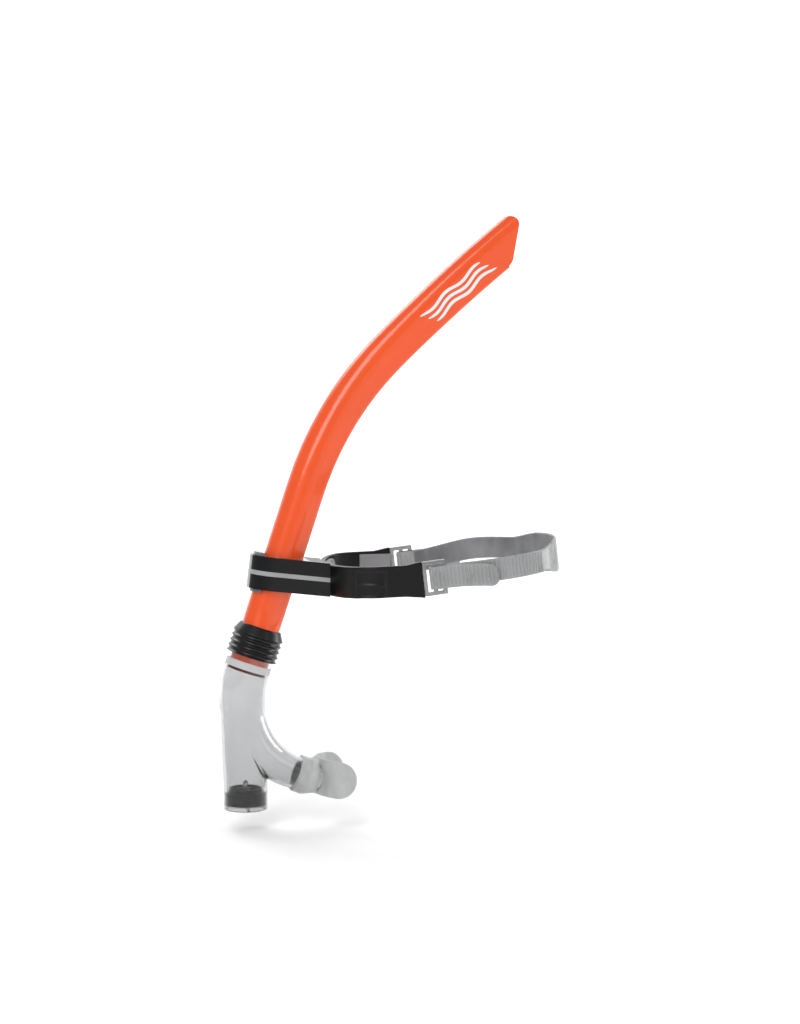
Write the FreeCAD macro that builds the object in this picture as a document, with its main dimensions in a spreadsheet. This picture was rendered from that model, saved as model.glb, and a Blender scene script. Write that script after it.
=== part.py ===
import FreeCAD, Part

import math
import os
import types

import Sketcher

# Centre-mount swimmer's snorkel, in millimetres. +X points from the face to the back of the head, +Y to the
# wearer's right and +Z up. The origin is the middle of the forehead pad's contact face.

V = FreeCAD.Vector
Y_AXIS = V(0, 1, 0)
Z_AXIS = V(0, 0, 1)

SIZES = [
    # tube
    ("tube_tilt", 18.5, "lean of the tube's straight part, degrees"),
    ("tube_foot_x", -53.75, "collar's top on the tube's axis"),
    ("tube_foot_z", -34.5, "collar's top on the tube's axis"),
    ("tube_straight", 106, "collar's top to the start of the bend"),
    ("tube_blend", 12, "length in which the round foot becomes a blade"),
    ("tube_constant", 68, "constant stretch that slides in the bracket"),
    ("bend_radius", 250, "main bend, on the centreline"),
    ("bend_angle", 27, "turn of the main bend, degrees"),
    ("tip_radius", 1200, "slight bend of the top"),
    ("tip_length", 147, "length of the top past the main bend"),
    ("tip_trim_x", 16.4, "opening's plane before the end of the centreline"),
    ("tip_trim_z", 14.4, "opening's middle below the end of the centreline"),
    ("tip_cut_lean", 7, "the opening leans back by this, degrees"),
    ("tip_cut_up", 9.5, "straight part of the opening, above its middle"),
    ("tip_cut_down", 15, "straight part of the opening, below its middle"),
    ("tip_round_above", 6, "rounding of the opening's upper end"),
    ("tip_round_below", 8, "rounding of the opening's lower end"),
    ("tube_wall", 1.8, "tube's wall"),
    ("low_nose_share", 0.4225, "front arc below, as a share of the blade's width"),
    ("low_tail_share", 0.2289, "rear arc below, as a share of the blade's width"),
    ("top_widening", 3, "how much wider the blade is above"),
    ("top_nose_share", 0.28, "front arc above, as a share of the blade's width"),
    ("top_tail_share", 0.102, "rear arc above, as a share of the blade's width"),
    # spigot, seal and collar
    ("spigot_radius", 14.2, "tube's round end, and half the blade's width below"),
    ("spigot_wall", 3, "wall of the round end"),
    ("spigot_length", 34.4, "from the collar's top"),
    ("spigot_fit", 0.05, "radial running clearance in the cuff"),
    ("seal_section", 0.95, "O-ring's section radius"),
    ("seal_depth", 32.9, "O-ring's place below the collar's top"),
    ("collar_length", 23, "ribbed collar"),
    ("collar_lip", 1, "collar's upper lip, outside the spigot"),
    ("collar_wall", 3.8, "first rib, outside the spigot"),
    ("collar_flare", 1.1, "growth of the ribs down the collar"),
    ("rib_count", 5, "ribs on the collar"),
    ("rib_depth", 1.2, "groove between ribs"),
    ("collar_skirt", 3, "how far the collar covers the cuff"),
    ("skirt_gap", 0.4, "clearance of the skirt round the cuff"),
    # mouth chamber
    ("cuff_top", 20, "cuff's upper end below the collar's top"),
    ("cuff_straight", 14.6, "straight part of the cuff"),
    ("cuff_bend_radius", 60, "bend from the tube's lean to upright"),
    ("cuff_wall", 2.55, "cuff round the spigot"),
    ("chamber_bulge", 0.2, "how much wider than tall the airway is, each side"),
    ("chamber_wall", 2.1, "chamber's wall"),
    ("elbow_inner_radius", 43.3, "inner side of the elbow, outside face"),
    ("elbow_drop", 5.5, "straight upright part above the elbow"),
    ("elbow_angle", 68, "turn of the elbow, degrees"),
    ("arm_half_height", 11.8, "oval end of the arm"),
    ("arm_half_width", 14.2, "oval end of the arm"),
    ("arm_spigot", 8, "reduced end inside the mouthpiece"),
    ("arm_spigot_step", 1.8, "how much smaller that end is"),
    ("housing_radius", 16, "purge housing, outside"),
    ("housing_bottom", -167.8, "open lower end of the housing"),
    ("housing_top", -150, "start of the straight housing"),
    ("housing_lip", 0.9, "housing's wall round the seat ring"),
    ("housing_shift", 2.2, "housing's axis behind the elbow's upper end"),
    ("housing_inset", 0.25, "housing's upper end inside the airway's wall"),
    # purge valve
    ("seat_top", -155.5, "upper face of the seat ring"),
    ("seat_height", 9, "seat ring"),
    ("seat_recess", 3, "room for the flap below the seat's ledge"),
    ("crown_inset", 2.3, "spoked crown above the seat ring, inside the recess's radius"),
    ("crown_wall", 1.3, "crown's wall"),
    ("crown_height", 3.2, "crown above the seat ring"),
    ("recess_wall", 0.95, "seat ring round the flap"),
    ("ledge_width", 2.1, "seat's ledge that the flap closes on"),
    ("seat_wall", 2, "seat ring"),
    ("seat_gap", 0.05, "press clearance in the housing"),
    ("spoke_count", 4, "spokes"),
    ("spoke_width", 1.8, "spokes"),
    ("spoke_height", 2.2, "spokes"),
    ("hub_radius", 3.4, "hub"),
    ("hub_height", 5, "hub"),
    ("stem_radius", 1.4, "flap's stem"),
    ("stem_fit", 0.06, "stem's running clearance in the hub"),
    ("flap_gap", 0.7, "purge flap in its recess"),
    ("flap_thickness", 0.9, "purge flap"),
    ("flap_travel", 1.6, "how far the flap drops"),
    ("stem_knob_radius", 2.1, "knob above the hub"),
    ("guard_height", 3.3, "clear ring below the flap"),
    ("guard_bar", 1.6, "cross bars of the ring"),
    # mouthpiece
    ("mouth_reach", 13.4, "middle of the lip flange behind the arm's end"),
    ("mouth_drop", 1.7, "middle of the lip flange below the arm's end"),
    ("mouth_pitch", 6, "the mouthpiece looks down by this, degrees"),
    ("sleeve_wall", 3.4, "silicone sleeve round the arm"),
    ("neck_half_height", 12.9, "sleeve at the flange, outside"),
    ("neck_half_width", 17, "sleeve at the flange, outside"),
    ("flange_half_height", 13.6, "rounded ends of the lip flange's wings"),
    ("flange_front_height", 12.6, "half the flange's height well before its middle"),
    ("flange_bow", 25, "the flange is a half round, and its wings go straight back from it"),
    ("flange_depth", 27.5, "from the flange's front to the ends of its wings"),
    ("flange_thickness", 2.4, "lip flange"),
    ("lug_start", 5.5, "bite lugs behind the flange's front, at their inner side"),
    ("lug_slope", 5.5, "how much further back their outer side starts"),
    ("lug_end", 22, "bite lugs' ends behind the flange's front"),
    ("lug_inner", 14.2, "bite lugs' inner side from the middle"),
    ("lug_width", 5.5, "bite lugs"),
    ("lug_thickness", 4, "bite lugs"),
    # bracket
    ("bracket_pitch", 6.7, "band's slope, degrees"),
    ("bracket_z", -0.5, "band's height at the pad"),
    ("band_height", 24.2, "band"),
    ("band_wall", 2.4, "band"),
    ("band_reach", 48.9, "band's front from the pad, less half the blade's width"),
    ("clip_wall", 2.15, "clip beside the tube"),
    ("band_back", 4.3, "band's open ends"),
    ("band_flare", 2, "how much wider the band is behind, each side"),
    ("stripe_height", 3.2, "stripe along the band"),
    ("stripe_depth", 0.5, "stripe along the band"),
    ("nose_depth", 0.8, "flat on the band's front, under the stripe's nose plate"),
    ("clip_gap", 0.35, "clearance of the tube in the clip"),
    ("clip_back", 21.5, "clip's rear face from the pad"),
    ("clip_nub", 2.4, "clip's nose above and below the band"),
    ("clip_nub_back", 54.6, "rear of the nose from the pad"),
    ("seat_clearance", 0.1, "clip and block in the band"),
    # head frame and pads
    ("head_radius", 75, "forehead"),
    ("pad_thickness", 4, "forehead pad"),
    ("pad_height", 21, "forehead pad"),
    ("pad_share", 0.94, "forehead pad, as a share of the plate's front arc"),
    ("frame_wall", 4.2, "forehead plate and arms"),
    ("frame_height", 22.6, "forehead plate and arms"),
    ("frame_end_height", 26.4, "arms' flared ends"),
    ("frame_half_width", 54, "outer faces of the arms"),
    ("frame_corner", 27, "outer radius of the corners"),
    ("arm_end_x", 55, "arms' ends"),
    ("corner_rise", 1.3, "middle of the arms where they start"),
    ("corner_rise_x", 12, "where the arms start"),
    ("arm_rise", 3, "arms' middle at their ends"),
    ("flare_start_x", 42, "where the arms begin to flare"),
    ("liner_thickness", 1.5, "soft liner in each arm"),
    ("liner_height", 19, "soft liner in each arm"),
    ("liner_gap", 4.29, "from the corner to the liner's front end"),
    # buckles and strap
    ("strap_pitch", 6.5, "rise of the strap to the back, degrees"),
    ("buckle_length", 17, "buckle"),
    ("buckle_height", 25, "buckle"),
    ("buckle_wall", 3.4, "buckle"),
    ("buckle_rail", 2.6, "upper and lower rails"),
    ("buckle_bar", 2.8, "upright bars"),
    ("tongue_length", 6.5, "tongue in the arm's end"),
    ("tongue_height", 15, "tongue in the arm's end"),
    ("tongue_wall", 1.8, "tongue in the arm's end"),
    ("tongue_gap", 0.1, "clearance in the arm's pocket"),
    ("strap_wall", 1.8, "strap"),
    ("strap_height", 16.4, "strap's runs"),
    ("strap_gap", 0.45, "clearance between strap and bars"),
    ("tail_length", 38, "free tail past the buckle's bar"),
    ("tail_spread", 3.2, "the free tail stands off the strap by this at its end"),
    ("tail_straight", 30, "straight part of the tail"),
    ("back_widening", 2, "the loop's radius, past half the frame's width"),
    ("back_centre_x", 58, "loop's centre from the arms' ends"),
    ("back_height", 25, "wide panel at the back"),
    ("back_half_angle", 62, "wide panel, degrees each way"),
    ("back_taper_x", 46, "full height of the panel starts here, past the loop's centre"),
    ("panel_gap", 0.3, "between the panel and the strap's runs"),
    ("side_start_x", 17.5, "where the strap's runs leave the buckles"),
]


class Size:
    """A number with the expression that it comes from."""

    def __init__(self, value, text):
        self.value = float(value)
        self.text = text

    def __add__(self, other):
        other = as_size(other)
        return Size(self.value + other.value, "(%s + %s)" % (self.text, other.text))

    def __sub__(self, other):
        other = as_size(other)
        return Size(self.value - other.value, "(%s - %s)" % (self.text, other.text))

    def __mul__(self, other):
        other = as_size(other)
        return Size(self.value * other.value, "(%s * %s)" % (self.text, other.text))

    def __truediv__(self, other):
        other = as_size(other)
        return Size(self.value / other.value, "(%s / %s)" % (self.text, other.text))

    def __neg__(self):
        return Size(-self.value, "(0 - %s)" % self.text)


def as_size(item):
    return item if isinstance(item, Size) else Size(item, "%.6f" % item)


doc = FreeCAD.newDocument("swimmers_snorkel")
sheet = doc.addObject("Spreadsheet::Sheet", "Sizes")
for row, (alias, value, note) in enumerate(SIZES, start=1):
    sheet.set("A%d" % row, alias)
    sheet.set("B%d" % row, str(value))
    sheet.set("C%d" % row, note)
    sheet.setAlias("B%d" % row, alias)
doc.recompute()

S = types.SimpleNamespace(
    **{alias: Size(sheet.get(alias), "Sizes." + alias) for alias, value, note in SIZES}
)
S.low_chord = S.spigot_radius * 2
S.low_nose = S.low_chord * S.low_nose_share
S.low_tail = S.low_chord * S.low_tail_share
S.top_chord = S.low_chord + S.top_widening
S.top_nose = S.top_chord * S.top_nose_share
S.top_tail = S.top_chord * S.top_tail_share
S.spigot_bore = S.spigot_radius - S.spigot_wall
S.collar_radius = S.spigot_radius + S.collar_wall
S.chamber_radius = S.spigot_radius + S.spigot_fit + S.cuff_wall
S.chamber_width = S.chamber_radius + S.chamber_bulge
S.seat_radius = S.housing_radius - S.housing_lip - S.seat_gap
S.recess_radius = S.seat_radius - S.recess_wall
S.crown_radius = S.recess_radius - S.crown_inset
S.ledge_radius = S.recess_radius - S.ledge_width
S.flap_radius = S.recess_radius - S.flap_gap
S.band_front = S.low_chord / 2 + S.band_reach
S.band_nose = S.low_nose + S.clip_gap + S.clip_wall + S.seat_clearance + S.band_wall
S.band_tail = S.band_nose + S.band_flare
S.back_radius = S.frame_half_width + S.back_widening
nodes = []


# Sketching

def pitched(x, z, pitch):
    """A frame in the plane of symmetry, turned about Y."""
    return FreeCAD.Placement(V(x, 0, z), FreeCAD.Rotation(Y_AXIS, pitch))


def new_body(label, placement=FreeCAD.Placement()):
    body = doc.addObject("PartDesign::Body", label)
    body.Label = label
    body.Placement = placement
    return body


def new_sketch(body, role, offset=FreeCAD.Placement()):
    plane = [feature for feature in body.Origin.OriginFeatures if feature.Role == role][0]
    sketch = body.newObject("Sketcher::SketchObject", body.Label + "_outline")
    sketch.AttachmentSupport = (plane, "")
    sketch.MapMode = "FlatFace"
    sketch.AttachmentOffset = offset
    return sketch


def lifted(height):
    """A sketch's offset along the normal of its plane."""
    return FreeCAD.Placement(V(0, 0, height), FreeCAD.Rotation())


def bind(sketch, kind, where, item):
    item = as_size(item)
    index = sketch.addConstraint(Sketcher.Constraint(kind, *where, item.value))
    sketch.setExpression("Constraints[%d]" % index, item.text)


def link(sketch, kind, *where):
    sketch.addConstraint(Sketcher.Constraint(kind, *where))


def draw_outline(sketch, corners):
    """A closed outline of straight lines."""
    first = sketch.GeometryCount
    places = [V(as_size(x).value, as_size(y).value, 0) for x, y in corners]
    count = len(corners)
    for i in range(count):
        sketch.addGeometry(Part.LineSegment(places[i], places[(i + 1) % count]), False)
    for i in range(count):
        link(sketch, "Coincident", first + i, 2, first + (i + 1) % count, 1)
    for i, (x, y) in enumerate(corners):
        bind(sketch, "DistanceX", (-1, 1, first + i, 1), x)
        bind(sketch, "DistanceY", (-1, 1, first + i, 1), y)


def draw_box(sketch, left, bottom, right, top):
    draw_outline(sketch, [(left, bottom), (right, bottom), (right, top), (left, top)])


def draw_circle(sketch, radius, x=0, y=0):
    middle = V(as_size(x).value, as_size(y).value, 0)
    index = sketch.addGeometry(Part.Circle(middle, Z_AXIS, as_size(radius).value), False)
    bind(sketch, "Radius", (index,), radius)
    bind(sketch, "DistanceX", (-1, 1, index, 3), x)
    bind(sketch, "DistanceY", (-1, 1, index, 3), y)


def draw_blade(sketch, nose, tail, chord, upright=False):
    """Two arcs joined by their tangent lines, along the sketch's X or, when upright, its Y."""
    nose = as_size(nose)
    tail = as_size(tail)
    chord = as_size(chord)
    centres = (nose - chord / 2, chord / 2 - tail)
    slope = math.asin((nose.value - tail.value) / (centres[1].value - centres[0].value))
    turn = math.pi / 2 if upright else 0.0
    lean = math.pi / 2 - slope

    def place(centre, radius, angle):
        x = centre.value + radius * math.cos(angle)
        y = radius * math.sin(angle)
        return V(x * math.cos(turn) - y * math.sin(turn), x * math.sin(turn) + y * math.cos(turn), 0)

    def arc(centre, radius, start, end):
        circle = Part.Circle(place(centre, 0, 0), Z_AXIS, radius)
        return Part.ArcOfCircle(circle, start + turn, end + turn)

    first = sketch.GeometryCount
    sketch.addGeometry(arc(centres[0], nose.value, lean, 2 * math.pi - lean), False)
    lower = (place(centres[0], nose.value, -lean), place(centres[1], tail.value, -lean))
    sketch.addGeometry(Part.LineSegment(*lower), False)
    sketch.addGeometry(arc(centres[1], tail.value, -lean, lean), False)
    upper = (place(centres[1], tail.value, lean), place(centres[0], nose.value, lean))
    sketch.addGeometry(Part.LineSegment(*upper), False)
    for i in range(4):
        link(sketch, "Tangent", first + i, 2, first + (i + 1) % 4, 1)
    for arc_index, radius, centre in ((first, nose, centres[0]), (first + 2, tail, centres[1])):
        link(sketch, "PointOnObject", arc_index, 3, -2 if upright else -1)
        bind(sketch, "Radius", (arc_index,), radius)
        bind(sketch, "DistanceY" if upright else "DistanceX", (-1, 1, arc_index, 3), centre)


def draw_sector(sketch, inner, outer, middle_x, middle_y, start, end):
    """A piece of a ring between two angles in degrees."""
    first = sketch.GeometryCount
    inner = as_size(inner)
    outer = as_size(outer)
    middle = V(as_size(middle_x).value, as_size(middle_y).value, 0)
    angles = (math.radians(start), math.radians(end))
    rays = [V(math.cos(angle), math.sin(angle), 0) for angle in angles]
    sketch.addGeometry(Part.ArcOfCircle(Part.Circle(middle, Z_AXIS, outer.value), *angles), False)
    sketch.addGeometry(
        Part.LineSegment(middle + rays[1] * outer.value, middle + rays[1] * inner.value), False
    )
    sketch.addGeometry(Part.ArcOfCircle(Part.Circle(middle, Z_AXIS, inner.value), *angles), False)
    sketch.addGeometry(
        Part.LineSegment(middle + rays[0] * inner.value, middle + rays[0] * outer.value), False
    )
    for ends in ((first, 2, first + 1, 1), (first + 1, 2, first + 2, 2), (first + 2, 1, first + 3, 1),
                 (first + 3, 2, first, 1), (first, 3, first + 2, 3)):
        link(sketch, "Coincident", *ends)
    link(sketch, "PointOnObject", first, 3, first + 1)
    link(sketch, "PointOnObject", first, 3, first + 3)
    bind(sketch, "Radius", (first,), outer)
    bind(sketch, "Radius", (first + 2,), inner)
    bind(sketch, "DistanceX", (-1, 1, first, 3), middle_x)
    bind(sketch, "DistanceY", (-1, 1, first, 3), middle_y)


# Features

def pad(body, sketch, length, midplane=False, cut=False, reverse=False):
    kind = "PartDesign::Pocket" if cut else "PartDesign::Pad"
    feature = body.newObject(kind, body.Label + ("_cut" if cut else "_pad"))
    feature.Profile = sketch
    length = as_size(length)
    feature.Length = length.value
    feature.setExpression("Length", length.text)
    feature.Midplane = midplane
    feature.Reversed = reverse
    doc.recompute()
    return feature


def turn(body, sketch, cut=False):
    kind = "PartDesign::Groove" if cut else "PartDesign::Revolution"
    feature = body.newObject(kind, body.Label + ("_groove" if cut else "_turned"))
    feature.Profile = sketch
    feature.ReferenceAxis = (sketch, ["V_Axis"])
    feature.Angle = 360
    doc.recompute()
    return feature


def loft(body, sketches, cut=False):
    kind = "PartDesign::SubtractiveLoft" if cut else "PartDesign::AdditiveLoft"
    feature = body.newObject(kind, body.Label + ("_bore" if cut else "_loft"))
    feature.Profile = sketches[0]
    feature.Sections = sketches[1:]
    doc.recompute()
    return feature


def keep(piece):
    nodes.append(piece)
    return piece


# Tube, seal and collar

TUBE = pitched(S.tube_foot_x.value, S.tube_foot_z.value, S.tube_tilt.value)


def tube_length():
    """The centreline from the collar's top to the end of the blade, before the opening is cut."""
    bend_length = S.bend_radius.value * math.radians(S.bend_angle.value)
    return S.tube_straight.value + bend_length + S.tip_length.value


def tube_station(length):
    """A section's frame in the tube's own frame, at a length along the centreline from the collar's top."""
    straight = S.tube_straight.value
    bend = math.radians(S.bend_angle.value)
    radius = S.bend_radius.value
    tip = S.tip_radius.value
    if length <= straight:
        return pitched(0, length, 0)
    angle = min((length - straight) / radius, bend)
    x = radius * (1 - math.cos(angle))
    z = straight + radius * math.sin(angle)
    past = length - straight - radius * bend
    if past > 0:
        extra = past / tip
        x += tip * (math.cos(bend) - math.cos(bend + extra))
        z += tip * (math.sin(bend + extra) - math.sin(bend))
        angle = bend + extra
    return pitched(x, z, math.degrees(angle))


def blade_at(body, length, share, wall):
    """The tube's section, a share of the way from its lower to its upper shape."""
    sketch = new_sketch(body, "XY_Plane", tube_station(length))
    draw_blade(
        sketch,
        S.low_nose + (S.top_nose - S.low_nose) * share - wall,
        S.low_tail + (S.top_tail - S.low_tail) * share - wall,
        S.low_chord + (S.top_chord - S.low_chord) * share - as_size(wall) * 2,
    )
    return sketch


def tube_solid(body, wall, cut):
    """The tube's outside, or its bore when a wall is given."""
    foot = new_sketch(body, "XY_Plane")
    foot_chord = S.low_chord - 0.4
    draw_blade(foot, S.spigot_radius - 1 - wall, S.spigot_radius - 1.6 - wall, foot_chord - as_size(wall) * 2)
    start = S.tube_blend.value
    loft(body, [foot, blade_at(body, start, 0, wall)], cut)
    straight = blade_at(body, start, 0, wall)
    pad(body, straight, S.tube_constant, cut=cut, reverse=cut)
    lower = start + S.tube_constant.value
    bend = S.bend_radius.value * math.radians(S.bend_angle.value)
    bend_start = S.tube_straight.value
    lengths = [lower, (lower + bend_start) / 2, bend_start]
    lengths += [bend_start + bend * part / 4 for part in (1, 2, 3, 4)]
    lengths += [bend_start + bend + S.tip_length.value * part / 5 for part in (1, 2, 3, 4, 5)]
    sketches = []
    for length in lengths:
        part = (length - lower) / (lengths[-1] - lower)
        sketches.append(blade_at(body, length, part * part * (3 - 2 * part), wall))
    loft(body, sketches, cut)


def make_tube():
    body = new_body("main_tube", TUBE)
    tube_solid(body, 0, False)
    spigot = new_sketch(body, "XY_Plane")
    draw_circle(spigot, S.spigot_radius)
    pad(body, spigot, S.spigot_length, reverse=True)
    tube_solid(body, S.tube_wall, True)
    bore = new_sketch(body, "XY_Plane", lifted(1))
    draw_circle(bore, S.spigot_bore)
    pad(body, bore, S.spigot_length + 2, cut=True)
    seal = new_sketch(body, "XZ_Plane")
    floor = S.spigot_radius - S.seal_section * 2
    half = S.seal_section + 0.15
    draw_box(seal, floor, -S.seal_depth - half, S.spigot_radius + 1, -S.seal_depth + half)
    turn(body, seal, cut=True)
    cut_tip(body)
    return keep(body)


def cut_tip(body):
    """The slanted opening: a nearly upright cut whose two ends are rounded into the tube."""
    end = TUBE.multiply(tube_station(tube_length())).Base
    middle = TUBE.inverse().multVec(V(end.x - S.tip_trim_x.value, 0, end.z - S.tip_trim_z.value))
    cut_lean = S.tip_cut_lean.value
    turned = FreeCAD.Rotation(Z_AXIS, S.tube_tilt.value - cut_lean)
    sketch = new_sketch(body, "XZ_Plane", FreeCAD.Placement(V(middle.x, middle.z, 0), turned))
    lean = math.radians(S.tube_tilt.value + S.bend_angle.value - cut_lean)
    lean += S.tip_length.value / S.tip_radius.value * 0.7
    far = S.top_chord.value * 2
    above = S.tip_round_above.value
    below = S.tip_round_below.value
    upper = V(-above, S.tip_cut_up.value, 0)
    lower = V(-below, -S.tip_cut_down.value, 0)
    upper_ray = V(-math.cos(lean), math.sin(lean), 0)
    lower_ray = V(math.cos(lean), -math.sin(lean), 0)
    top = Part.ArcOfCircle(Part.Circle(upper, Z_AXIS, above), 0, math.pi - lean)
    bottom = Part.ArcOfCircle(Part.Circle(lower, Z_AXIS, below), 2 * math.pi - lean, 2 * math.pi)
    corners = [top.EndPoint, upper + upper_ray * far, V(far, far * 2, 0), V(far, -far * 2, 0)]
    corners += [lower + lower_ray * far, bottom.StartPoint]
    sketch.addGeometry(Part.LineSegment(bottom.EndPoint, top.StartPoint), False)
    sketch.addGeometry(top, False)
    for start, end in zip(corners[:-1], corners[1:]):
        sketch.addGeometry(Part.LineSegment(start, end), False)
    sketch.addGeometry(bottom, False)
    last = sketch.GeometryCount - 1
    for i in range(last):
        link(sketch, "Coincident", i, 1 if i == last else 2, i + 1, 1)
    link(sketch, "Coincident", last, 2, 0, 1)
    pad(body, sketch, S.top_chord * 4, midplane=True, cut=True)


def make_seal():
    body = new_body("tube_seal_ring", TUBE)
    sketch = new_sketch(body, "XZ_Plane")
    draw_circle(sketch, S.seal_section, S.spigot_radius - S.seal_section, -S.seal_depth)
    turn(body, sketch)
    return keep(body)


def make_collar():
    body = new_body("coupling_collar", TUBE)
    sketch = new_sketch(body, "XZ_Plane")
    count = int(S.rib_count.value)
    pitch = (S.collar_length - 3) / count
    outline = [(S.spigot_radius, 0), (S.spigot_radius + S.collar_lip, 0)]
    for rib in range(count):
        radius = S.collar_radius + S.collar_flare * (rib / (count - 1))
        top = -(pitch * rib) - 2
        outline.append((radius - S.rib_depth, top))
        outline.append((radius, top - pitch * 0.3))
        outline.append((radius, top - pitch * 0.75))
        outline.append((radius - S.rib_depth, top - pitch))
    skirt = S.chamber_radius + S.skirt_gap
    skirt_top = -S.collar_length + S.collar_skirt
    outline.append((S.collar_radius + S.collar_flare - 0.3, -S.collar_length))
    outline.append((skirt, -S.collar_length))
    outline.append((skirt, skirt_top))
    outline.append((S.spigot_radius, skirt_top))
    draw_outline(sketch, outline)
    turn(body, sketch)
    return keep(body)


# Mouth chamber

def cuff_end():
    """The lower end of the cuff's straight part."""
    length = S.cuff_top.value + S.cuff_straight.value
    return TUBE.multVec(V(0, 0, -length))


def cuff_bend(part):
    """A section's frame in the bend from the tube's lean to upright."""
    start = cuff_end()
    radius = S.cuff_bend_radius.value
    lean = math.radians(S.tube_tilt.value)
    angle = lean * (1 - part)
    x = start.x - radius * (math.cos(angle) - math.cos(lean))
    z = start.z - radius * (math.sin(lean) - math.sin(angle))
    return pitched(x, z, math.degrees(angle))


def elbow_start():
    end = cuff_bend(1)
    return pitched(end.Base.x, end.Base.z - S.elbow_drop.value, 0)


def elbow_centre():
    start = elbow_start().Base
    return V(start.x + S.elbow_inner_radius.value + S.chamber_radius.value, 0, start.z)


def elbow_station(part):
    """A section's frame along the elbow; its inner side keeps one radius while the section narrows."""
    middle = elbow_centre()
    angle = math.radians(S.elbow_angle.value) * part
    half = S.chamber_radius.value + (S.arm_half_height.value - S.chamber_radius.value) * part
    radius = S.elbow_inner_radius.value + half
    x = middle.x - radius * math.cos(angle)
    z = middle.z - radius * math.sin(angle)
    return pitched(x, z, -math.degrees(angle))


ELBOW = elbow_start()
ARM_END = elbow_station(1)
HOUSING_X = ELBOW.Base.x + S.housing_shift.value


def inside(place, world):
    """A world frame as an offset in a body that stands at place."""
    return place.inverse().multiply(world)


def round_section(body, world, radius):
    sketch = new_sketch(body, "XY_Plane", inside(body.Placement, world))
    draw_circle(sketch, radius)
    return sketch


def oval_section(body, world, half_height, half_width):
    sketch = new_sketch(body, "XY_Plane", inside(body.Placement, world))
    draw_blade(sketch, half_height, half_height, half_width * 2, upright=True)
    return sketch


def chamber_section(body, world, share, wall):
    """The airway's section, a share of the way from the cuff's size to the arm's."""
    height = S.chamber_radius + (S.arm_half_height - S.chamber_radius) * share - wall
    width = S.chamber_width + (S.arm_half_width - S.chamber_width) * share - wall
    return oval_section(body, world, height, width)


def chamber_solid(body, wall, cut):
    """The chamber's outside, or its hollow when a wall is given."""
    loft(body, [chamber_section(body, cuff_bend(part), 0, wall) for part in (0, 0.5, 1)], cut)
    upright = chamber_section(body, cuff_bend(1), 0, wall)
    pad(body, upright, S.elbow_drop, cut=cut, reverse=not cut)
    elbow = [chamber_section(body, elbow_station(part), part, wall) for part in (0, 0.25, 0.5, 0.75, 1)]
    loft(body, elbow, cut)
    top = elbow_start().multiply(lifted(S.elbow_drop.value / 2))
    housing = pitched(HOUSING_X, S.housing_top.value, 0)
    upper_radius = S.chamber_radius - S.housing_inset - wall
    lower_radius = S.housing_radius - wall
    loft(body, [round_section(body, top, upper_radius), round_section(body, housing, lower_radius)], cut)
    lower = round_section(body, housing, S.housing_radius - wall)
    pad(body, lower, S.housing_top - S.housing_bottom, cut=cut, reverse=not cut)


def make_chamber():
    body = new_body("mouth_chamber", ELBOW)
    foot = TUBE.multVec(V(0, 0, -S.cuff_top.value))
    cuff = pitched(foot.x, foot.z, S.tube_tilt.value)
    pad(body, chamber_section(body, cuff, 0, 0), S.cuff_straight, reverse=True)
    chamber_solid(body, 0, False)
    spigot = oval_section(body, ARM_END, S.arm_half_height - S.arm_spigot_step,
                          S.arm_half_width - S.arm_spigot_step)
    pad(body, spigot, S.arm_spigot, reverse=True)
    chamber_solid(body, S.chamber_wall, True)
    bore = S.spigot_radius + S.spigot_fit
    pad(body, round_section(body, cuff, bore), S.cuff_straight, cut=True)
    airway = oval_section(body, ARM_END, S.arm_half_height - S.arm_spigot_step - S.chamber_wall,
                          S.arm_half_width - S.arm_spigot_step - S.chamber_wall)
    pad(body, airway, S.arm_spigot * 2.2, midplane=True, cut=True)
    seat_place = pitched(HOUSING_X, S.seat_top.value, 0)
    seat_bore = round_section(body, seat_place, S.housing_radius - S.housing_lip)
    pad(body, seat_bore, S.seat_top - S.housing_bottom + 1, cut=True)
    return keep(body)


# Purge valve: everything turns about the housing's axis

HOUSING = pitched(HOUSING_X, S.seat_top.value, 0)


def make_seat():
    body = new_body("valve_seat", HOUSING)
    outer = S.seat_radius
    inner = S.crown_radius - S.crown_wall
    recess_top = S.seat_recess - S.seat_height
    sketch = new_sketch(body, "XZ_Plane")
    draw_outline(sketch, [
        (inner, S.crown_height), (S.crown_radius, S.crown_height), (S.crown_radius, 0), (outer, 0),
        (outer, -S.seat_height), (S.recess_radius, -S.seat_height), (S.recess_radius, recess_top),
        (S.ledge_radius, recess_top), (inner, recess_top + 1.6),
    ])
    turn(body, sketch)
    spoke = new_sketch(body, "XY_Plane", lifted((S.crown_height - S.spoke_height).value))
    draw_box(spoke, S.hub_radius / 2, -S.spoke_width / 2, inner + S.crown_wall / 2, S.spoke_width / 2)
    arm = pad(body, spoke, S.spoke_height)
    pattern = body.newObject("PartDesign::PolarPattern", "spokes")
    pattern.Originals = [arm]
    pattern.Axis = (spoke, ["N_Axis"])
    pattern.Angle = 360
    pattern.Occurrences = int(S.spoke_count.value)
    body.Tip = pattern
    doc.recompute()
    hub = new_sketch(body, "XY_Plane", lifted((S.crown_height - S.hub_height).value))
    draw_circle(hub, S.hub_radius)
    pad(body, hub, S.hub_height)
    hole = new_sketch(body, "XY_Plane")
    draw_circle(hole, S.stem_radius + S.stem_fit)
    pad(body, hole, S.seat_height * 3, midplane=True, cut=True)
    return keep(body)


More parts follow.
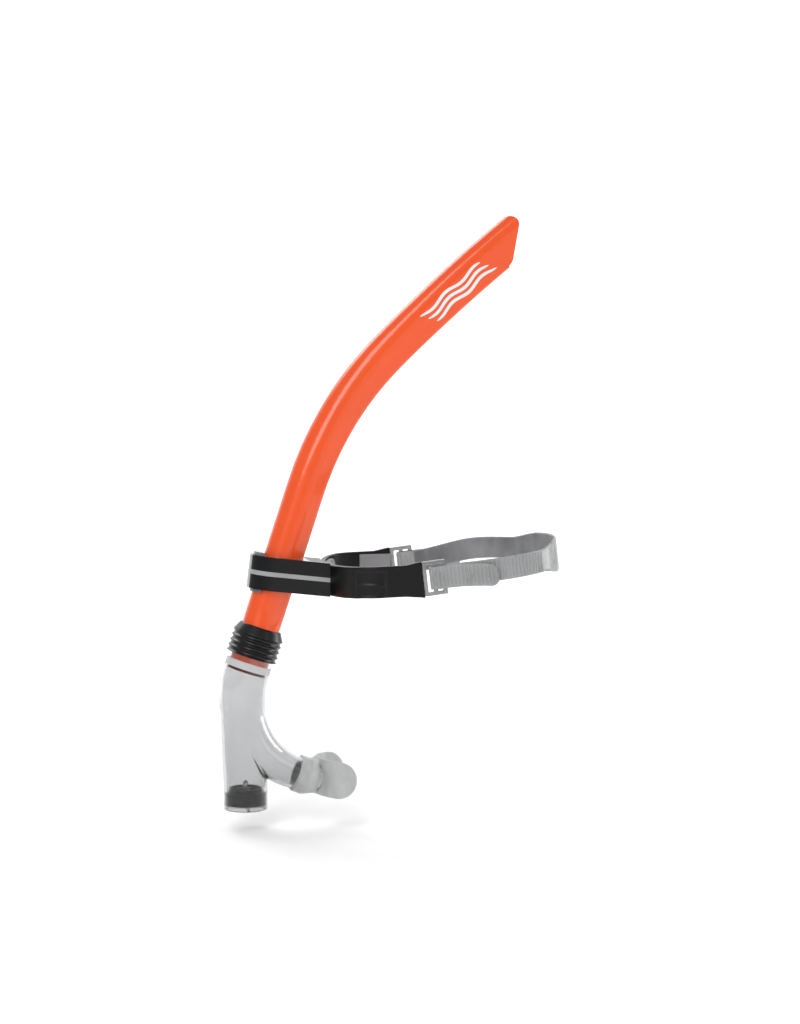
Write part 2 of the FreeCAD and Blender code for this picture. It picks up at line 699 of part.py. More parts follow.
def make_flap():
    body = new_body("valve_diaphragm", HOUSING)
    face = S.seat_recess - S.seat_height - 0.1
    shoulder = S.crown_height + S.flap_travel + 0.2
    sketch = new_sketch(body, "XZ_Plane")
    draw_outline(sketch, [
        (0, face - S.flap_thickness * 1.6), (S.flap_radius * 0.4, face - S.flap_thickness * 1.4),
        (S.flap_radius, face - S.flap_thickness * 0.6), (S.flap_radius, face), (S.stem_radius, face),
        (S.stem_radius, shoulder), (S.stem_knob_radius, shoulder + 0.5), (S.stem_radius, shoulder + 3),
        (0.6, shoulder + 3.6), (0, shoulder + 3.6),
    ])
    turn(body, sketch)
    return keep(body)


def make_guard():
    body = new_body("purge_guard", HOUSING)
    outer = S.seat_radius
    bottom = S.housing_bottom - S.seat_top
    sketch = new_sketch(body, "XZ_Plane")
    draw_outline(sketch, [
        (outer - S.seat_wall, bottom), (outer, bottom), (outer, bottom + S.guard_height),
        (outer - S.seat_wall, bottom + S.guard_height),
    ])
    turn(body, sketch)
    for turned in (0, 90):
        place = FreeCAD.Placement(V(0, 0, bottom.value), FreeCAD.Rotation(Z_AXIS, turned))
        bar = new_sketch(body, "XY_Plane", place)
        reach = outer - S.seat_wall / 2
        draw_box(bar, -reach, -S.guard_bar / 2, reach, S.guard_bar / 2)
        pad(body, bar, S.guard_bar)
    return keep(body)


# Mouthpiece

def make_mouthpiece():
    mouth_x = ARM_END.Base.x + S.mouth_reach.value
    mouth_z = ARM_END.Base.z - S.mouth_drop.value
    mouth = pitched(mouth_x, mouth_z, S.mouth_pitch.value - 90)
    body = new_body("bite_mouthpiece", mouth)
    bow = S.flange_bow
    depth = S.flange_depth
    front = new_sketch(body, "YZ_Plane")
    draw_sector(front, bow - S.flange_thickness, bow, 0, -bow, 0, 180)
    pad(body, front, S.flange_half_height * 2 + 2, midplane=True)
    for side in (-1, 1):
        wing = new_sketch(body, "YZ_Plane")
        edges = sorted((bow * side, (bow - S.flange_thickness) * side), key=lambda edge: edge.value)
        draw_box(wing, edges[0], -depth, edges[1], -bow)
        pad(body, wing, S.flange_half_height * 2 + 2, midplane=True)
    rim = new_sketch(body, "XZ_Plane", FreeCAD.Placement(V(0, depth.value / 2, 0), FreeCAD.Rotation()))
    far = depth * 4
    draw_box(rim, -far, -far, far, far)
    draw_blade(rim, S.flange_half_height, S.flange_front_height, depth * 3, upright=True)
    pad(body, rim, bow * 3, midplane=True, cut=True)
    wall = S.sleeve_wall
    grip_height = S.arm_half_height - S.arm_spigot_step
    grip_width = S.arm_half_width - S.arm_spigot_step
    grip_end = ARM_END.multiply(lifted(-S.arm_spigot.value))
    for cut in (False, True):
        extra = as_size(0) if cut else wall
        sections = [
            oval_section(body, ARM_END, grip_height + extra, grip_width + extra),
            oval_section(body, grip_end, grip_height + extra, grip_width + extra),
        ]
        loft(body, sections, cut)
        inner = mouth.multiply(lifted(-bow.value * 0.4 if cut else -1))
        sections = [
            oval_section(body, grip_end, grip_height + extra, grip_width + extra),
            oval_section(body, inner, S.neck_half_height - wall + extra, S.neck_half_width - wall + extra),
        ]
        loft(body, sections, cut)
    for side in (-1, 1):
        lug = new_sketch(body, "YZ_Plane")
        outer = S.lug_inner + S.lug_width
        corners = [
            (S.lug_inner, -S.lug_start), (outer, -S.lug_start - S.lug_slope), (outer, -S.lug_end),
            (S.lug_inner, -S.lug_end),
        ]
        draw_outline(lug, [(y * side, z) for y, z in corners])
        pad(body, lug, S.lug_thickness, midplane=True)
    return keep(body)


# Bracket

BRACKET = pitched(0, S.bracket_z.value, S.bracket_pitch.value)


def band_outline(body, inset):
    """The band's plan, some way inside its outer face; its back arc is centred at the pad."""
    chord = S.band_front + S.band_tail
    middle = (S.band_tail - S.band_front) / 2
    sketch = new_sketch(body, "XY_Plane", FreeCAD.Placement(V(middle.value, 0, 0), FreeCAD.Rotation()))
    inset = as_size(inset)
    return sketch, S.band_nose - inset, S.band_tail - inset, chord - inset * 2


def band_solid(body, inset, height, cut=False):
    """Everything inside the band's outer face, less an inset."""
    sketch, nose, tail, chord = band_outline(body, inset)
    draw_blade(sketch, nose, tail, chord)
    pad(body, sketch, height, midplane=True, cut=cut)


def cut_between(body, left, right, height):
    """Removes everything between two places along the bracket."""
    sketch = new_sketch(body, "XY_Plane")
    draw_box(sketch, left, -S.band_front, right, S.band_front)
    pad(body, sketch, height, midplane=True, cut=True)


def cut_at_plate(body):
    """Shapes a piece's rear to the front of the forehead plate."""
    sketch = new_sketch(body, "XY_Plane", inside(BRACKET, pitched(0, 0, 0)))
    draw_circle(sketch, S.head_radius + S.pad_thickness + S.frame_wall, S.head_radius)
    pad(body, sketch, S.band_height * 2, midplane=True, cut=True)


def make_band():
    body = new_body("bracket_band", BRACKET)
    band_solid(body, 0, S.band_height)
    band_solid(body, S.band_wall, S.band_height * 2, cut=True)
    cut_between(body, -S.band_back, S.band_front, S.band_height * 2)
    far = S.band_front * 2
    sketch, nose, tail, chord = band_outline(body, S.stripe_depth)
    draw_blade(sketch, nose, tail, chord)
    draw_box(sketch, -far, -far, far, far)
    pad(body, sketch, S.stripe_height, midplane=True, cut=True)
    cut_between(body, -far, S.nose_depth - S.band_front, S.band_height * 2)
    cut_at_plate(body)
    return keep(body)


def make_stripe():
    body = new_body("stripe_inlay", BRACKET)
    band_solid(body, 0, S.band_height)
    cut_between(body, S.nose_depth - S.band_front, S.band_front, S.band_height * 2)
    band_solid(body, 0, S.stripe_height)
    band_solid(body, S.stripe_depth, S.stripe_height * 2, cut=True)
    cut_between(body, -S.band_back, S.band_front, S.stripe_height * 2)
    cut_at_plate(body)
    return keep(body)


def make_clip():
    body = new_body("clip_sleeve", BRACKET)
    tall = S.band_height + S.clip_nub * 2
    band_solid(body, S.band_wall + S.seat_clearance, tall)
    cut_between(body, -S.clip_back, S.band_front, tall * 2)
    for side in (-1, 1):
        step = new_sketch(body, "XZ_Plane")
        edges = sorted((S.band_height / 2 * side, S.band_height * side), key=lambda edge: edge.value)
        draw_box(step, -S.clip_nub_back, edges[0], S.band_front, edges[1])
        pad(body, step, S.band_front * 2, midplane=True, cut=True)
    passage = new_sketch(body, "XY_Plane", inside(BRACKET, TUBE))
    gap = S.clip_gap
    draw_blade(passage, S.low_nose + gap, S.low_tail + gap, S.low_chord + gap * 2)
    pad(body, passage, S.tube_straight * 2, midplane=True, cut=True)
    return keep(body)


def make_core():
    body = new_body("bracket_core", BRACKET)
    band_solid(body, S.band_wall + S.seat_clearance, S.band_height)
    cut_between(body, -S.band_front * 2, -S.clip_back + S.seat_clearance, S.band_height * 2)
    cut_at_plate(body)
    return keep(body)


# Head frame

def frame_corners():
    """The corner's centre and the angle at which it meets the forehead arc."""
    outer = S.head_radius.value + S.pad_thickness.value + S.frame_wall.value
    corner = S.frame_corner.value
    y = S.frame_half_width.value - corner
    x = S.head_radius.value - math.sqrt((outer - corner) ** 2 - y ** 2)
    angle = math.degrees(math.atan2(y, x - S.head_radius.value))
    return x, y, angle


def make_frame():
    body = new_body("head_frame")
    tall = S.frame_end_height + S.arm_rise * 2 + 2
    corner_x, corner_y, angle = frame_corners()
    outer = S.head_radius + S.pad_thickness + S.frame_wall
    plate = new_sketch(body, "XY_Plane")
    draw_sector(plate, outer - S.frame_wall, outer, S.head_radius, 0, angle, 360 - angle)
    pad(body, plate, tall, midplane=True)
    for side in (-1, 1):
        corner = new_sketch(body, "XY_Plane")
        ends = (90, angle) if side > 0 else (360 - angle, 270)
        draw_sector(corner, S.frame_corner - S.frame_wall, S.frame_corner, corner_x, corner_y * side, *ends)
        pad(body, corner, tall, midplane=True)
        arm = new_sketch(body, "XY_Plane")
        edges = sorted((S.frame_half_width * side, (S.frame_half_width - S.frame_wall) * side),
                       key=lambda edge: edge.value)
        draw_box(arm, corner_x, edges[0], S.arm_end_x + 4, edges[1])
        pad(body, arm, tall, midplane=True)
    for side in (-1, 1):
        edge = new_sketch(body, "XZ_Plane")
        rise = S.arm_rise * 0.7
        half = S.frame_height / 2 * side
        draw_outline(edge, [
            (-S.band_front, half), (-S.band_back, half), (S.corner_rise_x, half + S.corner_rise),
            (S.flare_start_x, half + rise),
            (S.arm_end_x, S.frame_end_height / 2 * side + S.arm_rise),
            (S.arm_end_x + 9, S.frame_end_height / 2 * side + S.arm_rise),
            (S.arm_end_x + 9, tall * side), (-S.band_front, tall * side),
        ])
        pad(body, edge, S.frame_half_width * 4, midplane=True, cut=True)
        pocket = new_sketch(body, "XY_Plane", STRAP)
        middle = (S.frame_half_width - S.frame_wall / 2) * side
        half_wall = S.tongue_wall / 2 + S.tongue_gap
        draw_box(pocket, -S.tongue_length - 0.5, middle - half_wall, 5, middle + half_wall)
        pad(body, pocket, S.tongue_height + S.tongue_gap * 2, midplane=True, cut=True)
    ends = new_sketch(body, "XY_Plane", STRAP)
    draw_box(ends, 0, -S.frame_half_width * 2, 20, S.frame_half_width * 2)
    pad(body, ends, tall * 2, midplane=True, cut=True)
    return keep(body)


def make_forehead_pad():
    body = new_body("forehead_pad")
    sketch = new_sketch(body, "XY_Plane")
    spread = (180 - frame_corners()[2]) * S.pad_share.value
    draw_sector(sketch, S.head_radius, S.head_radius + S.pad_thickness, S.head_radius, 0, 180 - spread,
                180 + spread)
    pad(body, sketch, S.pad_height, midplane=True)
    return keep(body)


def make_liner(side, name):
    body = new_body(name)
    sketch = new_sketch(body, "XY_Plane", lifted(S.arm_rise.value * 0.6))
    face = S.frame_half_width - S.frame_wall
    edges = sorted((face * side, (face - S.liner_thickness) * side), key=lambda edge: edge.value)
    start = frame_corners()[0] + S.liner_gap.value
    draw_box(sketch, start, edges[0], S.arm_end_x - 1, edges[1])
    pad(body, sketch, S.liner_height, midplane=True)
    return keep(body)


# Buckles and strap

STRAP = pitched(S.arm_end_x.value, S.arm_rise.value, -S.strap_pitch.value)


def make_buckle(side, name):
    body = new_body(name, STRAP)
    middle = (S.frame_half_width - S.frame_wall / 2) * side
    half = S.buckle_wall / 2
    plate = new_sketch(body, "XY_Plane")
    draw_box(plate, 0.1, middle - half, S.buckle_length, middle + half)
    pad(body, plate, S.buckle_height, midplane=True)
    window = (S.buckle_length - S.buckle_bar * 3) / 2
    for start in (S.buckle_bar, S.buckle_bar * 2 + window):
        opening = new_sketch(body, "XY_Plane")
        draw_box(opening, start, middle - S.buckle_wall, start + window, middle + S.buckle_wall)
        pad(body, opening, S.buckle_height - S.buckle_rail * 2, midplane=True, cut=True)
    tongue = new_sketch(body, "XY_Plane")
    thin = S.tongue_wall / 2
    draw_box(tongue, -S.tongue_length, middle - thin, S.buckle_bar / 2, middle + thin)
    pad(body, tongue, S.tongue_height, midplane=True)
    return keep(body)


def strap_faces():
    """How far from the middle the strap's inner and outer legs lie at the buckle."""
    middle = S.frame_half_width - S.frame_wall / 2
    inner = middle - S.buckle_wall / 2 - S.strap_gap
    outer = middle + S.buckle_wall / 2 + S.strap_gap
    return inner, outer


def make_tail(side, name):
    body = new_body(name, STRAP)
    inner, outer = strap_faces()
    window = (S.buckle_length - S.buckle_bar * 3) / 2
    wall = S.strap_wall
    bend_inside = S.buckle_bar + window - S.strap_gap
    bend = bend_inside - wall
    end = S.buckle_length + S.tail_length
    start = S.side_start_x
    spread = S.tail_spread
    sketch = new_sketch(body, "XY_Plane")
    corners = [
        (start, inner - wall), (bend, inner - wall), (bend, outer + wall), (S.tail_straight, outer + wall),
        (end, outer + wall + spread), (end, outer + spread), (S.tail_straight, outer), (bend_inside, outer),
        (bend_inside, inner), (start, inner),
    ]
    draw_outline(sketch, [(x, y * side) for x, y in corners])
    pad(body, sketch, S.strap_height, midplane=True)
    return keep(body)


def make_side(side, name):
    body = new_body(name, STRAP)
    inner = strap_faces()[0]
    loop = S.back_radius.value - S.strap_wall.value / 2
    start = inner.value - S.strap_wall.value / 2
    run = S.back_centre_x.value - S.side_start_x.value
    bulge = as_size(((loop - start) ** 2 + run ** 2) / (2 * (loop - start)))
    angle = math.degrees(math.asin(run / bulge.value))
    half = S.strap_wall / 2
    long_run = new_sketch(body, "XY_Plane")
    centre = (loop - bulge.value) * side
    ends = (90, 91 + angle) if side > 0 else (269 - angle, 270)
    draw_sector(long_run, bulge - half, bulge + half, S.back_centre_x, centre, *ends)
    pad(body, long_run, S.strap_height, midplane=True)
    square_end = new_sketch(body, "XY_Plane")
    draw_box(square_end, 0, -loop, S.side_start_x, loop)
    pad(body, square_end, S.strap_height * 2, midplane=True, cut=True)
    back = new_sketch(body, "XY_Plane")
    gap = math.degrees(S.panel_gap.value / S.back_radius.value)
    limit = S.back_half_angle.value + gap
    ends = (limit, 90) if side > 0 else (270, 360 - limit)
    draw_sector(back, S.back_radius - S.strap_wall, S.back_radius, S.back_centre_x, 0, *ends)
    pad(body, back, S.strap_height, midplane=True)
    return keep(body)


def make_strap_back():
    body = new_body("strap_back", STRAP)
    spread = S.back_half_angle.value
    sketch = new_sketch(body, "XY_Plane")
    draw_sector(sketch, S.back_radius - S.strap_wall, S.back_radius, S.back_centre_x, 0, -spread, spread)
    pad(body, sketch, S.back_height, midplane=True)
    narrow = S.back_centre_x + S.back_radius * math.cos(math.radians(spread)) - 2
    for side in (-1, 1):
        edge = new_sketch(body, "XZ_Plane")
        full = S.back_centre_x + S.back_taper_x
        draw_outline(edge, [
            (narrow - 5, S.strap_height / 2 * side), (narrow, S.strap_height / 2 * side),
            (full, S.back_height / 2 * side), (full, S.back_height * side), (narrow - 5, S.back_height * side),
        ])
        pad(body, edge, S.back_radius * 4, midplane=True, cut=True)
    return keep(body)


make_tube()
make_seal()
make_collar()
make_chamber()
make_seat()
make_flap()
make_guard()
make_mouthpiece()
make_band()
make_stripe()
make_clip()
make_core()
make_frame()
make_forehead_pad()
for side, word in ((-1, "left"), (1, "right")):
    make_liner(side, word + "_arm_liner")
    make_buckle(side, word + "_buckle")
    make_tail(side, word + "_strap_tail")
    make_side(side, word + "_strap_side")
make_strap_back()

doc.recompute()
faults = [item.Label for item in doc.Objects if "Invalid" in item.State or "Error" in item.State]
faults += [node.Label for node in nodes if node.Shape.isNull() or not node.Shape.isValid()]
if faults:
    raise SystemExit("failed: " + ", ".join(faults))

os.makedirs("parts", exist_ok=True)
for node in nodes:
    node.Shape.exportStep(os.path.join("parts", node.Label + ".step"))
    print("%-20s %10.1f mm3, %d solids" % (node.Label, node.Shape.Volume, len(node.Shape.Solids)))
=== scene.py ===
import math

import bmesh
import bpy
import numpy as np
from mathutils import Matrix, Vector


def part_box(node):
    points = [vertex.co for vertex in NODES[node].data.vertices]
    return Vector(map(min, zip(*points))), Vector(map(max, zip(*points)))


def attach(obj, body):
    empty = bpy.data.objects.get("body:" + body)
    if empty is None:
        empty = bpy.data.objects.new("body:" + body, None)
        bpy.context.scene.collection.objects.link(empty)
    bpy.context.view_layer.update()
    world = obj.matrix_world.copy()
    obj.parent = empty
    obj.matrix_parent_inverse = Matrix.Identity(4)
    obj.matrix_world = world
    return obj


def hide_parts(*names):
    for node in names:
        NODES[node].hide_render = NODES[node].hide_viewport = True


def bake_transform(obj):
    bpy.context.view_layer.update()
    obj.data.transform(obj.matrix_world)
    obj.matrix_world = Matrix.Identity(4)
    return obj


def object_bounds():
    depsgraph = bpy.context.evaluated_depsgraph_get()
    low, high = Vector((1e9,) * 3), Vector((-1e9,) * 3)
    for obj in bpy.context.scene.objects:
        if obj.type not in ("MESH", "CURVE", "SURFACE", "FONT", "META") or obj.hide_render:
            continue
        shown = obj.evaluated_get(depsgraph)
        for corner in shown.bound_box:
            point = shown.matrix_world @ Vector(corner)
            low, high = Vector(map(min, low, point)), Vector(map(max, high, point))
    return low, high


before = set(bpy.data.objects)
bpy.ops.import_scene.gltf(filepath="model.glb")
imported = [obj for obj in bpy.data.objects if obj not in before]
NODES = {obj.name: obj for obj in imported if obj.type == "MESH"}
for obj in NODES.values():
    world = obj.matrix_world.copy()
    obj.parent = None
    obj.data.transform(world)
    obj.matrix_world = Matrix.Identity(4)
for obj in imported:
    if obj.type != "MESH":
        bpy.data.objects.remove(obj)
CAD_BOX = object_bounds()
MM = 0.001


# Frames that the CAD design uses, in metres

def pitched(x, z, pitch):
    """A frame in the plane of symmetry, turned about Y by degrees."""
    return Matrix.Translation((x * MM, 0, z * MM)) @ Matrix.Rotation(math.radians(pitch), 4, "Y")


TUBE = pitched(-53.75, -34.5, 18.5)
STRAP = pitched(55, 3, -6.5)


# Materials

def new_material(name, colour, roughness, **sockets):
    """A Principled material; its constant values sit on the shader's own sockets."""
    material = bpy.data.materials.new(name)
    material.use_nodes = True
    shader = material.node_tree.nodes["Principled BSDF"]
    shader.inputs["Base Color"].default_value = (*colour, 1)
    shader.inputs["Roughness"].default_value = roughness
    for socket, value in sockets.items():
        shader.inputs[socket.replace("_", " ")].default_value = value
    return material


def node_of(material, kind):
    return material.node_tree.nodes.new(kind)


def link(material, source, target):
    material.node_tree.links.new(source, target)


def object_noise(material, scale, detail=4.0, stretch=(1, 1, 1)):
    """Noise in the object's own coordinates, so that it rides with the piece."""
    place = node_of(material, "ShaderNodeTexCoord")
    mapping = node_of(material, "ShaderNodeMapping")
    mapping.inputs["Scale"].default_value = stretch
    texture = node_of(material, "ShaderNodeTexNoise")
    texture.inputs["Scale"].default_value = scale
    texture.inputs["Detail"].default_value = detail
    link(material, place.outputs["Object"], mapping.inputs["Vector"])
    link(material, mapping.outputs["Vector"], texture.inputs["Vector"])
    return texture


def vary_colour(material, texture, low, high):
    """The colour drifts between two close tones."""
    shader = material.node_tree.nodes["Principled BSDF"]
    ramp = node_of(material, "ShaderNodeValToRGB")
    ramp.color_ramp.elements[0].position = 0.3
    ramp.color_ramp.elements[0].color = (*low, 1)
    ramp.color_ramp.elements[1].position = 0.7
    ramp.color_ramp.elements[1].color = (*high, 1)
    link(material, texture.outputs["Fac"], ramp.inputs["Fac"])
    link(material, ramp.outputs["Color"], shader.inputs["Base Color"])
    return ramp


def vary_roughness(material, texture, low, high):
    shader = material.node_tree.nodes["Principled BSDF"]
    span = node_of(material, "ShaderNodeMapRange")
    span.inputs["To Min"].default_value = low
    span.inputs["To Max"].default_value = high
    link(material, texture.outputs["Fac"], span.inputs["Value"])
    link(material, span.outputs["Result"], shader.inputs["Roughness"])


def add_bump(material, texture, strength, distance):
    shader = material.node_tree.nodes["Principled BSDF"]
    bump = node_of(material, "ShaderNodeBump")
    bump.inputs["Strength"].default_value = strength
    bump.inputs["Distance"].default_value = distance
    link(material, texture.outputs["Fac"], bump.inputs["Height"])
    link(material, bump.outputs["Normal"], shader.inputs["Normal"])
    return bump


def moulded(name, colour, roughness, drift=0.06, grain=900, grain_strength=0.05, **sockets):
    """Moulded plastic or rubber: a slow drift of tone, uneven gloss and a fine grain."""
    material = new_material(name, colour, roughness, **sockets)
    slow = object_noise(material, 35, 3)
    darker = tuple(channel * (1 - drift) for channel in colour)
    lighter = tuple(min(1, channel * (1 + drift)) for channel in colour)
    vary_colour(material, slow, darker, lighter)
    fine = object_noise(material, grain, 2)
    vary_roughness(material, fine, roughness * 0.85, roughness * 1.2)
    add_bump(material, fine, grain_strength, 0.0002)
    return material


def clear(name, colour, roughness, ior, drift=0.02, transmission=1.0, **sockets):
    """Clear plastic: transmissive, with faint flow marks from the mould."""
    material = new_material(name, colour, roughness, IOR=ior, Transmission_Weight=transmission, **sockets)
    flow = object_noise(material, 70, 4, (1, 1, 0.45))
    vary_colour(material, flow, tuple(channel * (1 - drift) for channel in colour), colour)
    vary_roughness(material, flow, roughness * 0.7, roughness * 1.3 + 0.01)
    add_bump(material, flow, 0.08, 0.0004)
    return material


FROST_DEPTHS = (26.8, 32.6)
FROST_EDGE = 0.6


def frosted_and_lightened_cuff(material):
    """Down the tube's axis the cuff is near colourless, a painted brightening of the spigot seen through it,
    then frosted round the spigot's end, then grey.
    """
    shader = material.node_tree.nodes["Principled BSDF"]
    axis = TUBE.to_3x3() @ Vector((0, 0, 1))
    foot = TUBE.translation.dot(axis)
    place = node_of(material, "ShaderNodeTexCoord")
    along = node_of(material, "ShaderNodeVectorMath")
    along.operation = "DOT_PRODUCT"
    along.inputs[1].default_value = axis
    link(material, place.outputs["Object"], along.inputs[0])
    edges = []
    for depth, sign in zip(FROST_DEPTHS, (-1, 1)):
        edge = node_of(material, "ShaderNodeMapRange")
        edge.inputs["From Min"].default_value = foot - depth * MM
        edge.inputs["From Max"].default_value = foot - depth * MM + sign * FROST_EDGE * MM
        link(material, along.outputs["Value"], edge.inputs["Value"])
        edges.append(edge)
    band = node_of(material, "ShaderNodeMath")
    band.operation = "MULTIPLY"
    link(material, edges[0].outputs["Result"], band.inputs[0])
    link(material, edges[1].outputs["Result"], band.inputs[1])
    for socket, plain, frosted in (("Transmission Weight", 1.0, 0.3), ("Roughness", 0.05, 0.5)):
        level = node_of(material, "ShaderNodeMapRange")
        level.inputs["To Min"].default_value = plain
        level.inputs["To Max"].default_value = frosted
        link(material, band.outputs["Value"], level.inputs["Value"])
        link(material, level.outputs["Result"], shader.inputs[socket])
    # The near-white tint over the upper cuff is painted light: it brightens the spigot seen through the
    # cuff.
    painted_light_tint = node_of(material, "ShaderNodeMix")
    painted_light_tint.data_type = "RGBA"
    painted_light_tint.inputs["A"].default_value = (0.96, 0.96, 0.96, 1)
    tinted = shader.inputs["Base Color"].links[0].from_socket
    link(material, edges[0].outputs["Result"], painted_light_tint.inputs["Factor"])
    link(material, tinted, painted_light_tint.inputs["B"])
    link(material, painted_light_tint.outputs["Result"], shader.inputs["Base Color"])


ORANGE = (0.78, 0.078, 0.007)


def make_materials():
    made = {}
    made["orange"] = moulded("orange_plastic", ORANGE, 0.3, 0.03, 1400, 0.02, Coat_Weight=0.5,
                             Coat_Roughness=0.04, Specular_IOR_Level=0.3)
    made["print"] = moulded("printed_mark", (0.74, 0.75, 0.76), 0.45, 0.04, 2500, 0.05)
    made["collar"] = moulded("collar_rubber", (0.0025, 0.0025, 0.003), 0.26, 0.2, 1600, 0.12,
                             Specular_IOR_Level=0.4)
    made["seal"] = moulded("seal_rubber", (0.2, 0.006, 0.004), 0.35, 0.1, 1500, 0.08)
    made["chamber"] = clear("clear_chamber", (0.66, 0.665, 0.67), 0.05, 1.45, 0.06)
    frosted_and_lightened_cuff(made["chamber"])
    made["guard"] = clear("clear_guard", (0.78, 0.785, 0.79), 0.05, 1.45)
    made["buckle"] = clear("clear_buckle", (0.34, 0.345, 0.35), 0.14, 1.45, 0.12, 0.5)
    made["clip"] = clear("smoky_clip", (0.34, 0.35, 0.36), 0.12, 1.45, 0.05, 0.6)
    made["diaphragm"] = clear("silicone_flap", (0.8, 0.81, 0.81), 0.25, 1.41, 0.03, 0.8)
    made["seat"] = moulded("seat_plastic", (0.002, 0.002, 0.0025), 0.4, 0.2, 1500, 0.06,
                           Specular_IOR_Level=0.15)
    made["band"] = moulded("glossy_black", (0.002, 0.002, 0.0025), 0.16, 0.2, 1200, 0.03,
                           Specular_IOR_Level=0.35)
    made["stripe"] = moulded("grey_stripe", (0.3, 0.305, 0.31), 0.3, 0.08, 1800, 0.05)
    made["frame"] = moulded("matte_black", (0.002, 0.002, 0.0022), 0.34, 0.15, 2200, 0.16,
                            Specular_IOR_Level=0.28)
    made["pad"] = moulded("pad_silicone", (0.2, 0.2, 0.21), 0.6, 0.08, 900, 0.15, Subsurface_Weight=0.15,
                          Subsurface_Scale=0.003)
    made["strap"] = clear("strap_silicone", (0.4, 0.405, 0.41), 0.28, 1.41, 0.16, 0.22)
    # The inner face's darker grey is painted shade.
    made["strap_inner"] = clear("strap_silicone_painted_shade", (0.26, 0.265, 0.28), 0.45, 1.41, 0.5, 0.15)
    made["mouthpiece"] = clear("frosted_silicone", (0.64, 0.65, 0.65), 0.42, 1.41, 0.36, 0.3)
    made["liner"] = moulded("liner_silicone", (0.2, 0.2, 0.21), 0.55, 0.08, 900, 0.12)
    return made


MATERIALS = make_materials()


def paint(obj, material):
    obj.data.materials.clear()
    obj.data.materials.append(material)


def paint_cad(node, key):
    """A kept CAD node gets its procedural material in every slot."""
    obj = NODES[node]
    if not obj.material_slots:
        obj.data.materials.append(MATERIALS[key])
    for material_slot in obj.material_slots:
        material_slot.material = MATERIALS[key]


for node, key in (
    ("main_tube", "orange"), ("tube_seal_ring", "seal"), ("mouth_chamber", "chamber"),
    ("valve_seat", "seat"), ("valve_diaphragm", "diaphragm"), ("purge_guard", "guard"),
    ("bracket_band", "band"), ("stripe_inlay", "stripe"), ("clip_sleeve", "clip"),
    ("bracket_core", "frame"),
):
    paint_cad(node, key)


# Building pieces

def add_piece(name, mesh, key, body, replaced=()):
    """A finished piece on its body, in place of the CAD nodes that it stands for."""
    obj = bpy.data.objects.new(name, mesh)
    bpy.context.scene.collection.objects.link(obj)
    paint(obj, MATERIALS[key])
    for polygon in mesh.polygons:
        polygon.use_smooth = True
    if body:
        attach(obj, body)
    if replaced:
        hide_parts(*replaced)
    return obj


def closed_mesh(name, points, faces):
    mesh = bpy.data.meshes.new(name)
    mesh.from_pydata([tuple(point) for point in points], [], faces)
    work = bmesh.new()
    work.from_mesh(mesh)
    bmesh.ops.recalc_face_normals(work, faces=work.faces)
    work.to_mesh(mesh)
    work.free()
    return mesh


def ringed_mesh(name, rings, capped=True, looped=False):
    """Skins rings of equal length; the ends are closed by caps, or the last ring joins the first."""
    count = len(rings[0])
    points = [point for ring in rings for point in ring]
    faces = []
    last = len(rings) if looped else len(rings) - 1
    for i in range(last):
        start = i * count
        following = ((i + 1) % len(rings)) * count
        for j in range(count):
            k = (j + 1) % count
            faces.append((start + j, start + k, following + k, following + j))
    if capped and not looped:
        faces.append(tuple(range(count)))
        faces.append(tuple(range(len(points) - count, len(points))))
    return closed_mesh(name, points, faces)


def turned_mesh(name, place, profile, segments=128):
    """A closed profile of (radius, height) in millimetres, turned about the Z axis of place."""
    rings = []
    for i in range(segments):
        angle = 2 * math.pi * i / segments
        cosine = math.cos(angle)
        sine = math.sin(angle)
        rings.append([place @ Vector((r * MM * cosine, r * MM * sine, z * MM)) for r, z in profile])
    return ringed_mesh(name, rings, looped=True)


def softened_mesh(name, node, voxel, rounds):
    """A copy of a CAD node with rounded edges: remeshed finely, then smoothed."""
    source = NODES[node]
    mesh = source.data.copy()
    mesh.transform(source.matrix_world)
    scratch = bpy.data.objects.new(name + "_scratch", mesh)
    bpy.context.scene.collection.objects.link(scratch)
    remesh = scratch.modifiers.new("voxels", "REMESH")
    remesh.mode = "VOXEL"
    remesh.voxel_size = voxel * MM
    smooth = scratch.modifiers.new("smooth", "SMOOTH")
    smooth.factor = 0.5
    smooth.iterations = rounds
    graph = bpy.context.evaluated_depsgraph_get()
    result = bpy.data.meshes.new_from_object(scratch.evaluated_get(graph))
    result.name = name
    bpy.data.objects.remove(scratch)
    return result


def smoothstep(value):
    value = min(1.0, max(0.0, value))
    return value * value * (3 - 2 * value)


# Ribbed collar

# The collar, and the tube's spigot in it, in millimetres down the tube's axis
COLLAR_LENGTH = 23.0
COLLAR_TOP = -0.9
SHOULDER_RADIUS = 15.8
CONE_RISE = 2.9
COLLAR_RIBS = 5
RIB_DEPTH = 1.4
CONE_SHARE = 0.26
SPIGOT_RADIUS = 14.2
SKIRT_RADIUS = 17.2
SKIRT_TOP = -20.0


def collar_profile():
    """Outside from the lip down over a plain cone and the ribs, then up the inside."""
    lip = [(14.25, 0), (14.9, 0.05), (15.3, -0.15), (15.55, -0.5)]
    ribs = []
    steps = 20 * COLLAR_RIBS
    pitch = (1 - CONE_SHARE) / (COLLAR_RIBS - 1)
    for i in range(steps + 1):
        share = i / steps
        body = SHOULDER_RADIUS + CONE_RISE * min(1.0, share / CONE_SHARE) + 0.4 * share
        valley = 0.5 - 0.5 * math.cos(2 * math.pi * (share - CONE_SHARE) / pitch)
        depth = RIB_DEPTH * valley ** 0.6 if share > CONE_SHARE else 0.0
        ribs.append((body - depth, COLLAR_TOP + (0.5 - COLLAR_LENGTH - COLLAR_TOP) * share))
    foot = [(17.9, -COLLAR_LENGTH + 0.1), (17.5, -COLLAR_LENGTH), (SKIRT_RADIUS, -COLLAR_LENGTH + 0.2)]
    inside = [(SKIRT_RADIUS, SKIRT_TOP), (SPIGOT_RADIUS + 0.05, SKIRT_TOP), (SPIGOT_RADIUS + 0.05, -1)]
    return lip + ribs + foot + inside


